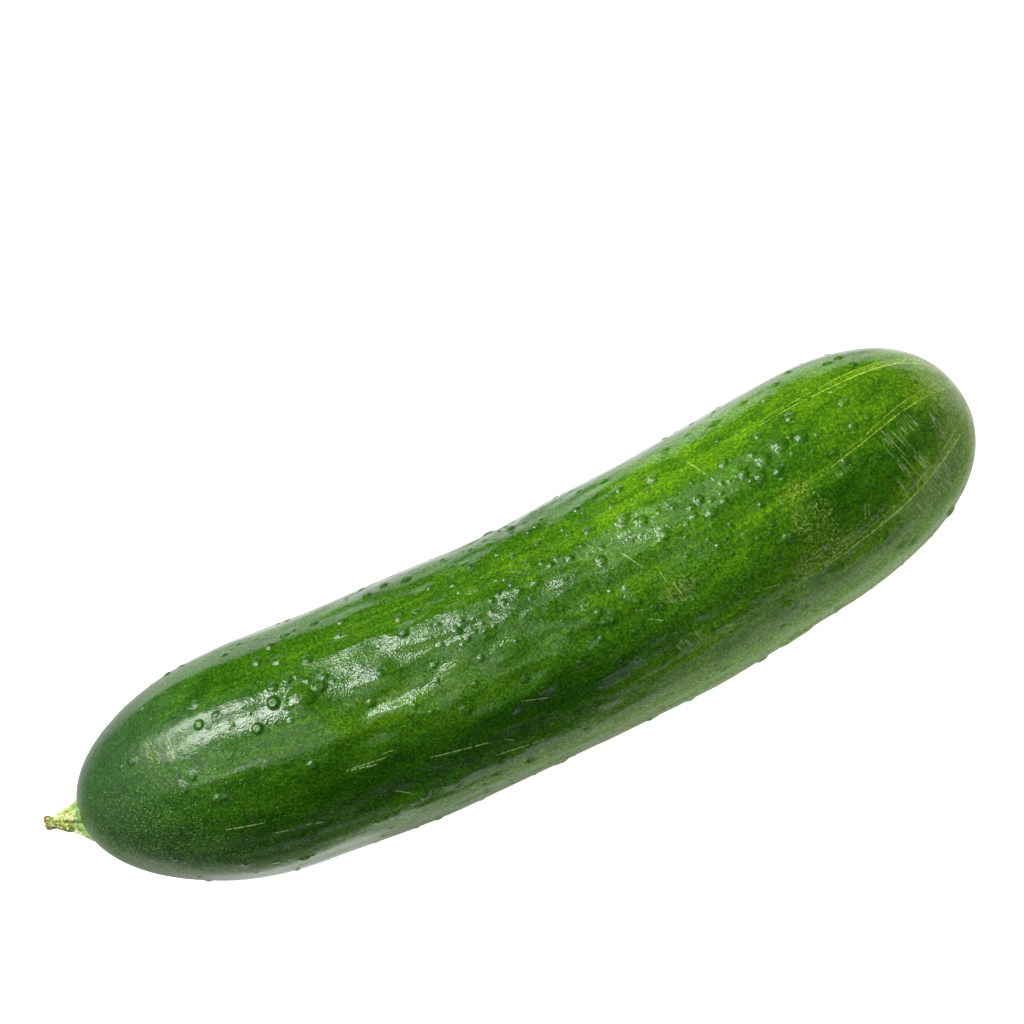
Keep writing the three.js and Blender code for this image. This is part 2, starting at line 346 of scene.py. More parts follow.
def skinHeights(angle, place):
    # how far each vertex stands over the plain body, before the warts
    along = place[:, 0]
    toPole = np.minimum(along, body["length"] - along)
    flat = offSole(angle)
    soft = fade(toPole, 0, ribs["fadeIn"]) * flat
    height = -ribs["depth"] * nearVein(angle) ** 3 * soft
    for size, wavelength, turns, phaseAlong, phaseRound in swells:
        wave = np.sin(2 * math.pi * along / wavelength + phaseAlong)
        height += soft * size * wave * np.cos(turns * angle + phaseRound)

    rippleHeight, rippleTurns, rippleLength = skinRelief["ripple"]
    ripple = noiseAt(around(angle, along, rippleLength, rippleTurns) * skinRelief["rippleScale"])
    height += rippleHeight * flat * zone(along, *skinRelief["rippleZone"]) * ripple

    for degrees, halfWidth, rise, start, end in stemRidges:
        share = zone(along, start, start + 8, end - 14, end)
        height += rise * share * np.exp(-(turnFrom(angle, degrees) / halfWidth) ** 2)

    wrinkleHeight, wrinkleLength, wrinkleWidth = skinRelief["wrinkle"]
    elsewhere = skinRelief["wrinkleElsewhere"]
    creased = place / np.array([wrinkleLength, wrinkleWidth, wrinkleWidth])
    onTop = fade(np.cos(angle - math.radians(6)), 0.55, 0.95) * zone(along, *skinRelief["wrinkleZone"])
    ridged = 0.4 - 2 * np.hypot(noiseAt(creased), skinRelief["wrinkleRound"])
    height += wrinkleHeight * flat * (elsewhere + (1 - elsewhere) * onTop) * fade(toPole, 5, 25) * ridged

    waveHeight, waveLength = skinRelief["wave"]
    height += waveHeight * soft * noiseAt(place / waveLength + 9.0)
    grainHeight, grainLength = skinRelief["grain"]
    height += grainHeight * flat * fade(toPole, 3, 15) * noiseAt(place / grainLength + 4.0)
    return height


def wartHeights(place):
    # how far the warts and blisters stand up, and how much of a wart each vertex is
    order = np.argsort(place[:, 0])
    bumps = np.zeros(len(place))
    wartness = np.zeros(len(place))
    for spot in wartList + fineList:
        near, away = spotDistance(place, order, spot)
        big = float(fade(spot[2], 0.5, 1.0))
        flatTop, foot = (low + (high - low) * big for low, high in (wartShape["flat"], wartShape["foot"]))
        flatTop += wartShape["flatter"] * big * float(1 - fade(spot[0], 50, 75))
        dome = 1 - fade(away, flatTop, foot)
        bumps[near] = np.maximum(bumps[near], wartShape["height"] * spot[2] * dome)
        # past the foot the wart share marks where the painted ring of shade goes
        wartness[near] = np.maximum(wartness[near], 1 - fade(away, *wartShape["shadeAndGloss"]))
    for alongMiddle, degrees, length, width, rise in blisters:
        away = place - straightPoint(alongMiddle, math.radians(degrees))
        oval = np.hypot(away[:, 0] / (length / 2), np.hypot(away[:, 1], away[:, 2]) / (width / 2))
        bumps += blisterShape["height"] * rise * (1 - fade(oval, *blisterShape["edge"]))
    return bumps, wartness


def greenTone(angle, place):
    along = place[:, 0]
    tone = greenLook["base"] + sum(rise * fade(along, low, high) for rise, low, high in greenLook["rises"])
    for alongMiddle, degrees, halfLength, halfWidth, amount in patches:
        oval = np.hypot((along - alongMiddle) / halfLength, turnFrom(angle, degrees) / halfWidth)
        tone += amount * (1 - fade(oval, 0.35, 1.1))
    return tone + greenLook["cloud"] * noiseAt(around(angle, along, *greenLook["cloudShape"]) + 5.0, 2)


def addObject(name, data):
    made = bpy.data.objects.new(name, data)
    bpy.context.scene.collection.objects.link(made)
    return made


def makePiece(name, bm, co, vectors, numbers):
    # an object with the given vertex places, and attributes for its material
    mesh = bpy.data.meshes.new(name)
    bm.to_mesh(mesh)
    bm.free()
    mesh.vertices.foreach_set("co", co.astype(np.float32).ravel())
    for key, values in vectors.items():
        data = mesh.attributes.new(key, "FLOAT_VECTOR", "POINT").data
        data.foreach_set("vector", values.astype(np.float32).ravel())
    for key, values in numbers.items():
        data = mesh.attributes.new(key, "FLOAT", "POINT").data
        data.foreach_set("value", values.astype(np.float32))
    mesh.polygons.foreach_set("use_smooth", np.ones(len(mesh.polygons), bool))
    mesh.update()
    return addObject(name, mesh)


def spinAndClose(bm, sides):
    # a closed skin from an outline in the plane of x and z
    bmesh.ops.spin(bm, geom=bm.verts[:] + bm.edges[:], axis=(1, 0, 0), cent=(0, 0, 0),
                   angle=2 * math.pi, steps=sides, use_merge=True)
    bmesh.ops.remove_doubles(bm, verts=bm.verts[:], dist=1e-5)
    bmesh.ops.recalc_face_normals(bm, faces=bm.faces[:])


def makeFruit():
    bm = bmesh.new()
    ends = [bm.verts.new((0, 0, 0)), bm.verts.new((skinLength, 0, 0))]
    line = bm.edges.new(ends)
    bmesh.ops.subdivide_edges(bm, edges=[line], cuts=fruitMesh["rings"] - 1)
    for v in bm.verts:  # the outline over the skin's own length, so that the rings are evenly spaced
        v.co.z = fromProfile("radius", v.co.x)
    spinAndClose(bm, fruitMesh["sides"])
    for radii, margin in fruitMesh["reach"]:
        refineNear(bm, wartList + fineList, radii, margin)

    over, angle, place = straightPlace(bm)
    bumps, wartness = wartHeights(place)
    height = skinHeights(angle, place) + bumps * offSole(angle)
    lean = fromProfile("normalAlong", over)
    out = fromProfile("normalOut", over)
    radius = fromProfile("radius", over)
    atBlossom = place[:, 0] > body["length"] / 2
    pucker = scar["depth"] * np.exp(-(radius / scar["radius"]) ** 2) * atBlossom
    along = place[:, 0] + height * lean - pucker
    reach = radius + height * out
    co = bent(along, reach * np.sin(angle), reach * np.cos(angle))
    co[:, 2] = np.maximum(co[:, 2], sole["lift"] * mm)
    numbers = {"wart": wartness, "tone": greenTone(angle, place)}
    return makePiece("cucumber_skin", bm, co, {"straight": place}, numbers)


# ---- stem stub
stemLook = {
    "outline": [  # distance out from the pole, radius
        (-2.4, 5.0), (-1.5, 4.5), (-0.8, 3.95), (-0.2, 3.35), (0.6, 2.85), (1.4, 2.45),
        (2.4, 2.1), (3.4, 1.75), (4.2, 1.4), (4.8, 1.14), (5.3, 1.08), (5.8, 1.25),
        (6.3, 1.2), (6.65, 0.85), (6.5, 0.4), (6.35, 0.0),
    ],
    "sides": 72,
    "ridges": 5,
    "ridgeHeight": 0.15,
    "fineRidges": 14,
    "fineHeight": 0.05,
    "offset": 1.2,  # of its root from the pole, towards -Y
    "lean": 0.9,
    "curl": 1.6,
    "tip": 6.6,
    "lumps": 0.09,
    "ragged": 0.6,
    "torn": (5.2, 6.4),  # where the ragged end begins and is full
    "twist": 0.5,
}


def makeStem():
    bm = bmesh.new()
    outline = stemLook["outline"]
    dots = [bm.verts.new((rise, 0, radius)) for rise, radius in outline]
    rootDot = bm.verts.new((outline[0][0], 0, 0))
    chain = [rootDot] + dots
    lines = [bm.edges.new(pair) for pair in zip(chain, chain[1:])]
    bmesh.ops.subdivide_edges(bm, edges=lines[1:], cuts=3, smooth=0.6)
    spinAndClose(bm, stemLook["sides"])

    co = np.array([v.co[:] for v in bm.verts])
    rise, side, up = co[:, 0], co[:, 1], co[:, 2]
    angle = np.arctan2(side, up)
    radius = np.hypot(side, up)
    turned = angle + stemLook["twist"] * fade(rise, 0, stemLook["tip"])
    ridged = 1 + stemLook["ridgeHeight"] * np.cos(stemLook["ridges"] * turned)
    ridged += stemLook["fineHeight"] * np.cos(stemLook["fineRidges"] * turned + 1.0)
    lumps = noiseAt(np.stack([rise / 1.6, side, up], axis=1) * 0.9 + 3.0)
    radius = radius * (ridged + stemLook["lumps"] * lumps * fade(rise, 0.3, 3))
    across = np.stack([side, up, np.full(len(rise), 2.0)], axis=1)
    torn = stemLook["ragged"] * fade(rise, *stemLook["torn"]) * noiseAt(across * 2.6)
    straight = np.stack([rise, side, up], axis=1)
    rise = rise + torn
    lean = stemLook["lean"] * np.power(np.clip(rise, 0, None) / stemLook["tip"], stemLook["curl"])
    co = bent(-rise, radius * np.sin(angle) + stemLook["offset"] - lean, radius * np.cos(angle))
    return makePiece("stem_piece", bm, co, {"straight": straight}, {})


# ---- materials
class Wire:
    # a socket that Python arithmetic adds Math nodes to
    def __init__(self, paint, socket):
        self.paint = paint
        self.socket = socket

    def math(self, operation, *others):
        values = {i: v for i, v in enumerate((self,) + others)}
        return self.paint.node("ShaderNodeMath", {"operation": operation}, values)

    def flipped(self, operation, other):
        return self.paint.node("ShaderNodeMath", {"operation": operation}, {0: other, 1: self})

    def __add__(self, other):
        return self.math("ADD", other)

    def __sub__(self, other):
        return self.math("SUBTRACT", other)

    def __mul__(self, other):
        return self.math("MULTIPLY", other)

    def __truediv__(self, other):
        return self.math("DIVIDE", other)

    def __pow__(self, other):
        return self.math("POWER", other)

    def __rsub__(self, other):
        return self.flipped("SUBTRACT", other)

    def __rpow__(self, other):
        return self.flipped("POWER", other)

    def __abs__(self):
        return self.math("ABSOLUTE")

    __radd__ = __add__
    __rmul__ = __mul__


class Paint:
    # the nodes of a material or of the world
    def __init__(self, owner):
        owner.use_nodes = True
        self.tree = owner.node_tree
        self.tree.nodes.clear()

    def node(self, kind, settings=None, inputs=None, output=0):
        made = self.tree.nodes.new(kind)
        for name, value in (settings or {}).items():
            setattr(made, name, value)
        for name, value in (inputs or {}).items():
            if isinstance(value, Wire):
                self.tree.links.new(value.socket, made.inputs[name])
            else:
                made.inputs[name].default_value = value
        return Wire(self, made.outputs[output])

    def part(self, vector, axis):
        return self.node("ShaderNodeSeparateXYZ", None, {0: vector}, "XYZ".index(axis))

    def attribute(self, name, output):
        return self.node("ShaderNodeAttribute", {"attribute_name": name}, None, output)

    def ray(self, kind):
        return self.node("ShaderNodeLightPath", None, None, kind)

    def scaled(self, vector, scale, shift=(0, 0, 0)):
        # vector times scale plus shift
        values = {0: vector, 1: scale, 2: shift}
        return self.node("ShaderNodeVectorMath", {"operation": "MULTIPLY_ADD"}, values)

    def noise(self, vector, scale=1.0, detail=2.0, roughness=0.5):
        values = {"Vector": vector, "Scale": scale, "Detail": detail, "Roughness": roughness}
        return self.node("ShaderNodeTexNoise", None, values)

    def bump(self, height):
        values = {"Strength": 1.0, "Distance": mm, "Height": height}
        return self.node("ShaderNodeBump", None, values)

    def smooth(self, value, low, high, start=0.0, end=1.0):
        values = {0: value, 1: low, 2: high, 3: start, 4: end}
        return self.node("ShaderNodeMapRange", {"interpolation_type": "SMOOTHSTEP"}, values)

    def mix(self, factor, a, b):
        settings = {"data_type": "RGBA", "clamp_factor": True}
        return self.node("ShaderNodeMix", settings, {0: factor, 6: a, 7: b}, 2)

    def finish(self, surface, kind="ShaderNodeOutputMaterial"):
        out = self.tree.nodes.new(kind)
        self.tree.links.new(surface.socket, out.inputs["Surface"])


def rgb(red, green, blue):
    # a screen colour, from 0 to 255, as a linear one
    linear = [((c / 255 + 0.055) / 1.055) ** 2.4 if c > 10 else c / 255 / 12.92 for c in (red, green, blue)]
    return (*linear, 1.0)


def paintedWith(name, draw):
    # a new material whose nodes the given function draws
    material = bpy.data.materials.new(name)
    draw(Paint(material))
    return material


skinLook = {
    "deep": rgb(31, 75, 5),
    "leaf": rgb(52, 98, 12),
    "bright": rgb(82, 127, 14),
    "stemEnd": rgb(34, 70, 26),
    "vein": rgb(122, 154, 8),
    "veinLine": rgb(156, 194, 66),
    "pole": rgb(146, 184, 56),
    # partly the fruit's own paler underside, partly painted floor light and sheen
    "flank": rgb(112, 160, 52),
    # painted shade: the dark green of the ring round each wart's foot
    "wart": rgb(16, 64, 22),
    "fleck": rgb(150, 182, 108),
    "scratch": rgb(196, 214, 150),
    "net": rgb(128, 146, 32),
    "dry": rgb(150, 118, 66),
    "streakScale": (0.035, 0.8, 0.8),  # how fine its noise is along and across the fruit
    "mottleScale": (0.16, 0.3, 0.3),
    "mottle": 1.25,  # how strongly it moves the green
    "grainScale": 2.4,
    "grain": 0.5,
    "lightScale": 2.0,
    "light": 4.4,  # how strongly the lightness varies, in powers of two
    "blossomLight": 1.2,
    "fleckScale": 3.6,
    "pebbleScale": 2.6,
    "dentScale": (0.13, 0.3, 0.3),
    "roughness": 0.11,
    "zones": {  # where each change along the fruit begins and is full
        "stemEnd": (32.0, 8.0),
        "flank": (40.0, 90.0),
        "pole": (168.0, 182.0),
        "wartShadeRing": (60.0, 30.0),
        "light": (88.0, 122.0),
        "fleck": (50.0, 12.0),
        "dull": (42.0, 14.0),
        "calmBlossom": (80.0, 104.0),
        "calmStem": (64.0, 40.0),
        "dentsBegin": (46.0, 60.0),
        "dentsEnd": (128.0, 96.0),
    },
}
veinLook = {
    "start": 132.0,
    "startSpread": 14.0,
    "drift": 1.6,
    "shift": 0.4,
    "twist": -0.13,  # radians
    "twistAngle": 1.05,  # radians, where it is greatest
    "twistZone": (142.0, 179.0),
}

# Pale scratches: start along and angle, end along and angle, half width
scratches = [
    (27.3, 50, 34.2, 51.5, 0.2), (35, 59, 37.6, 60, 0.16), (40.5, 60, 43.6, 62.5, 0.16),
    (50.4, 40.4, 56.2, 43, 0.18), (50.6, 40, 58.4, 41.6, 0.12), (57.4, 39.2, 60, 39.7, 0.12),
    (64.8, 50.5, 75, 55.6, 0.2), (82.8, 42, 87.7, 47, 0.15), (57, 60.5, 59.6, 66, 0.13),
    (75.2, 64.5, 84, 68.5, 0.13), (110.3, 1, 112.4, 12, 0.18), (109, 34.5, 111.4, 39, 0.16),
    (107.2, 27.2, 108.9, 29.6, 0.14), (114.6, 17, 114.8, 23, 0.12), (128.8, -28, 131.2, -7, 0.16),
    (113, 31.6, 116.6, 35.4, 0.13), (127.4, 48.6, 131.6, 51.6, 0.13), (150.2, 48, 151.4, 41, 0.13),
    (151, 48, 152, 42, 0.11), (77.8, 58, 79.2, 61, 0.14), (161, 14, 162.2, 34, 0.12),
    (157.3, -19.2, 158.2, -18.4, 0.42), (159.2, -19.8, 159.9, -19.2, 0.36),
]

# Rubbed places with fine lines across them: along, angle, half length, half width, strength
rubbed = [
    (162, 32, 2.8, 6.6, 1), (171.6, 32, 2.8, 5.6, 1),
    (158.4, 46, 2, 3, 0.8), (165.4, 42, 1.2, 3, 0.8), (166, 20, 2.4, 2.4, 0.8), (152, 19.5, 3, 1.6, 0.7),
    (165, 62, 8, 5, 0.5), (22.2, 0, 1, 4, 0.6), (114, 55, 3.4, 1.7, 0.8), (163.5, 52, 3, 6, 0.6),
    (115.6, 30, 3.6, 2.4, 0.8),
]

# Speckled dry places: along, angle, half length, half width, strength
dryPlaces = [
    (142, 17, 4, 1.5, 1), (142, 28.5, 4, 1.7, 0.7), (141, 51.5, 8, 3.4, 1), (116, 29, 4.4, 3, 0.5),
    (139.6, 42, 0.8, 12, 0.8), (145.2, 40, 0.7, 9, 0.8), (142, 38, 5, 9, 0.5), (145.6, 72, 2, 1.4, 0.7),
    (118.5, 29, 4, 1.4, 0.6), (19.4, -2, 0.8, 4.4, 0.7), (22, 1, 1, 3.4, 0.8),
]


def paintVeins(paint, place, along, angle, radius):
    # how near a vein each spot is, and how much of a vein's band and of its edge lines it has
    look = veinLook
    drift = paint.noise(paint.scaled(place, (0.05, 0.02, 0.02)), 1.0, 1.0) - 0.5
    leaning = paint.smooth((angle - look["twistAngle"]).math("COSINE"), 0.0, 0.75)
    twist = paint.smooth(along, *look["twistZone"], 0.0, look["twist"]) * leaning
    pitch = 2 * math.pi / ribs["count"]
    turns = (angle - math.radians(ribs["first"]) - twist) * (1 / pitch)
    offVein = (turns - turns.math("ROUND")) * pitch * radius + drift * look["drift"] - look["shift"]
    fromStart = along - look["start"] - (angle * 2.0 - 0.42).math("COSINE") * look["startSpread"]
    narrow = paint.smooth(radius, 2.0, 13.0, 0.35, 1.0) * paint.smooth(fromStart, 8.0, 28.0, 0.45, 1.0)
    share = offVein / narrow
    breaks = paint.noise(paint.scaled(place, (0.25, 0.5, 0.5), (1, 4, 2)), 1.0, 2.0)
    band = paint.smooth(abs(share), 0.95, 0.3) * paint.smooth(fromStart, 14.0, 34.0, 0.0, 0.75)
    lines = paint.smooth(abs(share - 0.8), 0.3, 0.04) + paint.smooth(abs(share + 0.8), 0.3, 0.04) * 0.6
    lines = lines * paint.smooth(fromStart, -6.0, 14.0) * paint.smooth(breaks, 0.28, 0.5)
    return paint.smooth(abs(offVein), 5.0, 0.5), band, lines


def paintScratches(paint, along, arc):
    # every scratch is a thin line from its start to its end
    whole = None
    for startAlong, startAngle, endAlong, endAngle, width in scratches:
        startArc = math.radians(startAngle) * body["radius"]
        endArc = math.radians(endAngle) * body["radius"]
        length = math.hypot(endAlong - startAlong, endArc - startArc)
        stepAlong, stepArc = (endAlong - startAlong) / length, (endArc - startArc) / length
        fromAlong, fromArc = along - startAlong, arc - startArc
        run = fromAlong * stepAlong + fromArc * stepArc
        across = abs(fromArc * stepAlong - fromAlong * stepArc) * 1.3
        past = abs(run - length / 2) - length / 2
        line = paint.smooth(across, width, width * 0.3) * paint.smooth(past, 0.2, -0.5)
        whole = line if whole is None else whole.math("MAXIMUM", line)
    return whole


def paintPatches(paint, spots, along, arc):
    # soft ovals
    whole = None
    for alongMiddle, degrees, wide, tall, amount in spots:
        offAlong = (along - alongMiddle) / wide
        offArc = (arc - math.radians(degrees) * body["radius"]) / tall
        one = paint.smooth(offAlong ** 2.0 + offArc ** 2.0, 1.0, 0.2) * float(amount)
        whole = one if whole is None else whole.math("MAXIMUM", one)
    return whole


def paintMarks(paint, place, along, arc, broken):
    # scratches, rubbed places and dry speckles, and where the skin is dry
    scratch = paintScratches(paint, along, arc) * paint.smooth(broken, 0.34, 0.52)
    wavering = along + (paint.noise(place, 0.3, 2.0) - 0.5) * 4.0
    slanted = paint.node("ShaderNodeCombineXYZ", None, {0: along * 1.7 - arc * 0.2, 1: arc * 0.05, 2: 0.0})
    offLine = abs(paint.noise(slanted, 1.0, 1.0, 0.6) - 0.5)
    rubbedHere = paint.smooth(paintPatches(paint, rubbed, wavering, arc), 0.0, 0.5)
    gaps = paint.smooth(paint.noise(paint.scaled(place, (1.2, 0.4, 0.4)), 1.0, 2.0), 0.42, 0.54)
    nick = paint.smooth(offLine, 0.05, 0.015) * rubbedHere * gaps
    dry = paintPatches(paint, dryPlaces, wavering, arc)
    cell = paint.node("ShaderNodeTexVoronoi", None, {"Vector": place, "Scale": 2.3})
    speck = paint.smooth(cell, 0.42, 0.2) * paint.smooth(broken, 0.36, 0.5) * dry
    return scratch.math("MAXIMUM", nick * 0.7).math("MAXIMUM", speck), dry


def skinBump(paint, place, along, wart):
    # pebbles, flatter towards the two ends, and soft dents in between
    look, zones = skinLook, skinLook["zones"]
    calm = paint.smooth(along, *zones["calmBlossom"], 1.0, 0.6)
    calm = calm * paint.smooth(along, *zones["calmStem"], 0.9, 0.55)
    pebble = paint.noise(place, look["pebbleScale"], 1.0, 0.6) * (0.06 - wart * 0.045) * calm
    rumpled = paint.smooth(along, *zones["dentsBegin"]) * paint.smooth(along, *zones["dentsEnd"], 0.3, 1.0)
    dents = paint.noise(paint.scaled(place, look["dentScale"], (3, 5, 7)), 1.0, 0.0) * rumpled
    return paint.bump(pebble + paint.noise(place, 0.8, 2.0) * 0.06 + dents)


def skinPaint(paint):
    look, zones = skinLook, skinLook["zones"]
    place = paint.attribute("straight", "Vector")
    wart = paint.attribute("wart", "Fac")
    tone = paint.attribute("tone", "Fac")
    along, side, up = (paint.part(place, axis) for axis in "XYZ")
    radius = (side * side + up * up).math("SQRT")
    angle = side.math("ARCTAN2", up)
    byVein, veinBand, veinLines = paintVeins(paint, place, along, angle, radius)

    # fine lengthwise streaks, a soft mottle and a fine grain in the green
    streak = paint.noise(paint.scaled(place, look["streakScale"]), 1.0, 3.0, 0.6)
    mottle = paint.noise(paint.scaled(place, look["mottleScale"]), 1.0, 4.0, 0.6)
    grain = paint.noise(place, look["grainScale"], 2.0, 0.6)
    shade = tone + (streak - 0.5) * (byVein * 0.6 + 0.4) + (mottle - 0.5) * look["mottle"]
    shade = shade + byVein * 0.06 + (grain - 0.5) * look["grain"]
    color = paint.mix(paint.smooth(shade, 0.0, 0.55), look["deep"], look["leaf"])
    color = paint.mix(paint.smooth(shade, 0.5, 1.1), color, look["bright"])
    color = paint.mix(paint.smooth(along, *zones["stemEnd"], 0.0, 0.85), color, look["stemEnd"])
    # paler green low on the sides, strongest towards the front: partly the fruit's own paler underside,
    # partly painted light from the floor and painted sheen
    below = paint.smooth(up, 9.0, 1.5) * paint.smooth(along, *zones["flank"], 0.3, 0.95)
    below = below * paint.smooth(side, -2.0, 12.0, 0.4, 1.0)
    color = paint.mix(below, color, look["flank"])
    color = paint.mix(veinBand * 0.7, color, look["vein"])
    color = paint.mix(veinLines * 0.8, color, look["veinLine"])
    color = paint.mix(paint.smooth(along, *zones["pole"], 0.0, 0.9), color, look["pole"])
    # painted shade: a dark green ring round each wart's foot, strongest near the stem end, standing in for
    # the shade on its slopes
    wartShadeRing = paint.smooth(wart, 0.02, 0.4) * paint.smooth(wart, 1.0, 0.6, 0.45, 1.0)
    color = paint.mix(wartShadeRing * paint.smooth(along, *zones["wartShadeRing"], 0.42, 0.26), color, look["wart"])
    light = 2.0 ** ((paint.noise(place, look["lightScale"], 2.0, 0.65) - 0.5) * look["light"])
    light = light * paint.smooth(along, *zones["light"], 1.0, look["blossomLight"])
    color = paint.scaled(color, light)

    # pale flecks, thickest on the lower side of the stem end
    lower = paint.smooth(along, *zones["fleck"]) * paint.smooth(side, -4.0, 13.0)
    fleck = paint.smooth(paint.noise(place, look["fleckScale"], 1.0, 0.5) + lower * 0.095, 0.71, 0.77)
    color = paint.mix(fleck * 0.6, color, look["fleck"])

    broken = paint.noise(place, 2.0, 2.0)
    mark, dry = paintMarks(paint, place, along, angle * body["radius"], broken)
    color = paint.mix(dry * paint.smooth(broken, 0.4, 0.62) * 0.35, color, look["net"])
    color = paint.mix(mark * 0.6, color, look["scratch"])
    inScar = paint.smooth(radius, 2.6, 1.2) * paint.smooth(along, 120.0, 121.0)
    color = paint.mix(inScar, color, look["dry"])

    rough = look["roughness"] + (paint.noise(place, 0.5, 3.0) - 0.5) * 0.1 + mark * 0.2
    rough = rough + paint.smooth(along, *zones["dull"], 0.0, 0.22) + wart * 0.1
    paint.finish(paint.node("ShaderNodeBsdfPrincipled", None, {
        "Base Color": color,
        "Roughness": rough,
        "Normal": skinBump(paint, place, along, wart),
        "IOR": 1.45,
    }))


stemPaintLook = {
    "green": rgb(142, 172, 60),
    "pale": rgb(214, 224, 156),
    "hollow": rgb(96, 126, 36),
    "fleck": rgb(140, 112, 34),
    "torn": rgb(150, 124, 52),
    "dark": rgb(88, 70, 24),
    "root": rgb(122, 168, 92),
    "cloudScale": (0.5, 1.2, 1.2),
    "fibreScale": (0.55, 3.6, 3.6),
    "fleckScale": 1.7,
    "holeScale": 1.3,
    "roughness": 0.34,
    "rootZone": (0.9, -0.4),
    "tornZone": (5.0, 6.2),
}


def stemPaint(paint):
    look = stemPaintLook
    place = paint.attribute("straight", "Vector")
    rise, side, up = (paint.part(place, axis) for axis in "XYZ")
    angle = side.math("ARCTAN2", up)
    ridge = (angle * float(stemLook["ridges"]) + rise * 0.25).math("COSINE")
    cloud = paint.noise(paint.scaled(place, look["cloudScale"]), 1.0, 3.0)
    color = paint.mix(paint.smooth(ridge + (cloud - 0.5) * 2.4, -0.8, 1.2), look["green"], look["pale"])
    fibre = paint.noise(paint.scaled(place, look["fibreScale"]), 1.0, 2.0)
    color = paint.mix(paint.smooth(fibre, 0.5, 0.66, 0.0, 0.7), color, look["pale"])
    color = paint.mix(paint.smooth(fibre, 0.46, 0.34, 0.0, 0.6), color, look["hollow"])

    # brown flecks and small hollows, more of them on the lower side
    dots = paint.noise(place, look["fleckScale"], 2.0, 0.5)
    lower = paint.smooth(side, -0.4, 1.2)
    fleck = paint.smooth(dots + lower * 0.07, 0.58, 0.66) * paint.smooth(rise, 0.2, 1.4)
    color = paint.mix(fleck, color, look["fleck"])
    apart = paint.scaled(place, (1.0, 1.0, 1.0), (7, 3, 5))
    holes = paint.noise(apart, look["holeScale"], 1.0, 0.5) + lower * 0.1
    color = paint.mix(paint.smooth(holes, 0.64, 0.7), color, look["hollow"])

    # greener at the root, brown at the torn end
    wavering = rise + (cloud - 0.5) * 3.0
    color = paint.mix(paint.smooth(wavering, *look["rootZone"], 0.0, 0.8), color, look["root"])
    color = paint.mix(paint.smooth(wavering, *look["tornZone"]), color, look["torn"])
    color = paint.mix(paint.smooth(dots, 0.52, 0.62) * paint.smooth(rise, 5.0, 5.8), color, look["dark"])
    height = fibre * 0.22 + dots * 0.16 - paint.smooth(holes, 0.6, 0.7) * 0.12
    paint.finish(paint.node("ShaderNodeBsdfPrincipled", None, {
        "Base Color": color,
        "Roughness": look["roughness"] + (cloud - 0.5) * 0.2,
        "Normal": paint.bump(height),
        "Subsurface Weight": 0.2,
        "Subsurface Radius": (0.0012, 0.0015, 0.0004),
        "Subsurface Scale": 1.0,
    }))


fruit = makeFruit()
fruit.data.materials.append(paintedWith("cucumber_skin", skinPaint))
print("fruit:", sum(len(p.vertices) - 2 for p in fruit.data.polygons), "triangles")
stem = makeStem()
stem.data.materials.append(paintedWith("stem_flesh", stemPaint))
print("stem:", sum(len(p.vertices) - 2 for p in stem.data.polygons), "triangles")

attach(fruit, "root")
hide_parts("fruit")
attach(stem, "root")
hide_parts("stem_stub")


# ---- floor, light and camera
studio = {  # lengths in metres
    "floorSize": 10.0,
    "floorColor": (0.9, 0.9, 0.9, 1),
    "floorGlow": 0.95,  # as the camera sees it
    "bounce": 1.2,  # light that the floor gives the fruit
    "sheen": {  # how bright the floor is in reflections; left is the stem end
        "behind": 1.1,
        "closeLeft": 1.1,
        "closeRight": 0.9,
        "farLeft": 0.65,
        "farMiddle": 0.12,
        "farRight": 1.0,
    },
    "dome": 0.02,
    "softDome": 0.04,  # the same room for the light that the skin scatters
    "endGlow": (0.7, 0.1),  # beyond the stem end and the blossom end
    "lights": [  # name, place, size, power in watts
        ("panel", (-0.37, 0.53, 0.85), (0.70, 1.0), 0.9),
        ("panel_front", (-0.14, -0.27, 0.95), (0.30, 0.5), 0.55),
        ("strip_back", (-0.395, 0.65, 0.76), (0.65, 0.19), 7.2),
        ("strip_middle", (-0.395, 0.25, 0.97), (0.65, 0.21), 8.6),
        ("strip_front", (-0.50, -0.22, 0.97), (0.46, 0.12), 1.0),
        ("soft_right", (0.04, 0.45, 0.89), (0.14, 0.5), 0.35),
    ],
}


def floorSheen(paint, x, y):
    # in reflections the floor is bright behind the fruit and close in front of it, and patchy beyond
    sheen = studio["sheen"]
    farRight = paint.smooth(x, 0.0, 0.03, sheen["farMiddle"], sheen["farRight"])
    farRight = farRight * paint.smooth(y, -0.5, -0.28, 0.1, 1.0) * paint.smooth(y, -0.17, -0.1, 1.0, 0.55)
    farLeft = paint.smooth(y, -0.19, -0.14) * paint.smooth(y, -0.078, -0.092, 0.25, 1.0)
    farLeft = farLeft * paint.smooth(x, -0.03, -0.05, 0.0, sheen["farLeft"])
    close = paint.smooth(x, -0.055, -0.015, sheen["closeLeft"], sheen["closeRight"])
    close = close * paint.smooth(y - paint.smooth(x, -0.055, -0.015, 0.03, 0.0), -0.048, -0.04, 1.0, 0.45)
    isClose = paint.smooth(y + paint.smooth(x, -0.055, -0.015, 0.0, 0.04), -0.034, -0.024)
    front = farRight.math("MAXIMUM", farLeft) * (1.0 - isClose) + close * isClose
    behind = paint.smooth(y, -0.01, 0.02) * paint.smooth(y, 1.6, 0.9) * sheen["behind"]
    return (behind + paint.smooth(y, 0.02, -0.01) * front) * paint.smooth(x, -0.16, -0.09, 0.2, 1.0)


